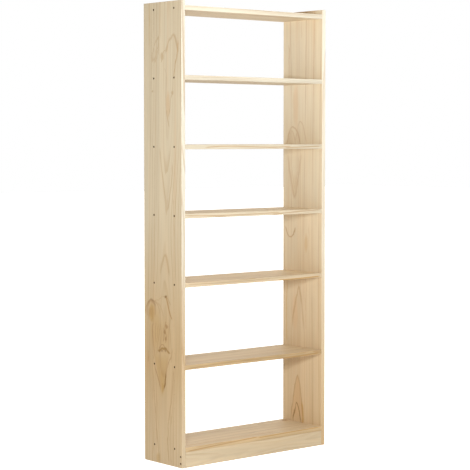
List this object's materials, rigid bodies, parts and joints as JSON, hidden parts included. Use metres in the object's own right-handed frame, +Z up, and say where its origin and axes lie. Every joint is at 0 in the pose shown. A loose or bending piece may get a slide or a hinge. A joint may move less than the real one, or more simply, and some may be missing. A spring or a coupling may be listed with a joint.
{
  "type": "bookcase with adjustable shelves",
  "caption": "Tall open-backed pine bookcase with drilled sides, a plinth, fixed top and bottom shelves and loose shelves that lift off and move to other holes.",
  "frame": {"origin": "on the floor at the middle of the footprint", "axes": "+Z up, +X along the shelves to the right as seen from the front, -Y out of the front"},
  "size_m": [0.84, 0.265, 2],
  "materials": {
    "pine_side": "planed and sanded bare pine, faint sheen",
    "pine_shelf": "planed and sanded bare pine, faint sheen",
    "screw_steel": "dark bronzed, satin"
  },
  "bodies": {
    "case": {"side_left": "pine_side", "side_right": "pine_side", "shelf_1_top": "pine_shelf", "shelf_7_bottom": "pine_shelf", "plinth": "pine_shelf", "shelf_1_top_screw_left_front": "screw_steel", "shelf_1_top_screw_left_rear": "screw_steel", "shelf_1_top_screw_right_front": "screw_steel", "shelf_1_top_screw_right_rear": "screw_steel", "shelf_2_screw_left_front": "screw_steel", "shelf_2_screw_left_rear": "screw_steel", "shelf_2_screw_right_front": "screw_steel", "shelf_2_screw_right_rear": "screw_steel", "shelf_3_screw_left_front": "screw_steel", "shelf_3_screw_left_rear": "screw_steel", "shelf_3_screw_right_front": "screw_steel", "shelf_3_screw_right_rear": "screw_steel", "shelf_4_screw_left_front": "screw_steel", "shelf_4_screw_left_rear": "screw_steel", "shelf_4_screw_right_front": "screw_steel", "shelf_4_screw_right_rear": "screw_steel", "shelf_5_screw_left_front": "screw_steel", "shelf_5_screw_left_rear": "screw_steel", "shelf_5_screw_right_front": "screw_steel", "shelf_5_screw_right_rear": "screw_steel", "shelf_6_screw_left_front": "screw_steel", "shelf_6_screw_left_rear": "screw_steel", "shelf_6_screw_right_front": "screw_steel", "shelf_6_screw_right_rear": "screw_steel", "shelf_7_bottom_screw_left_front": "screw_steel", "shelf_7_bottom_screw_left_rear": "screw_steel", "shelf_7_bottom_screw_right_front": "screw_steel", "shelf_7_bottom_screw_right_rear": "screw_steel", "plinth_screw_left_upper": "screw_steel", "plinth_screw_left_lower": "screw_steel", "plinth_screw_right_upper": "screw_steel", "plinth_screw_right_lower": "screw_steel"},
    "shelf_2_body": {"shelf_2": "pine_shelf"},
    "shelf_3_body": {"shelf_3": "pine_shelf"},
    "shelf_4_body": {"shelf_4": "pine_shelf"},
    "shelf_5_body": {"shelf_5": "pine_shelf"},
    "shelf_6_body": {"shelf_6": "pine_shelf"}
  },
  "joints": [
    {"name": "shelf_2_lift", "type": "slide", "parent": "case", "child": "shelf_2_body", "axis": [0, 0, 1], "range_m": [0, 0.2745]},
    {"name": "shelf_3_lift", "type": "slide", "parent": "case", "child": "shelf_3_body", "axis": [0, 0, 1], "range_m": [0, 0.2745]},
    {"name": "shelf_4_lift", "type": "slide", "parent": "case", "child": "shelf_4_body", "axis": [0, 0, 1], "range_m": [0, 0.2745]},
    {"name": "shelf_5_lift", "type": "slide", "parent": "case", "child": "shelf_5_body", "axis": [0, 0, 1], "range_m": [0, 0.2745]},
    {"name": "shelf_6_lift", "type": "slide", "parent": "case", "child": "shelf_6_body", "axis": [0, 0, 1], "range_m": [0, 0.3336]}
  ]
}
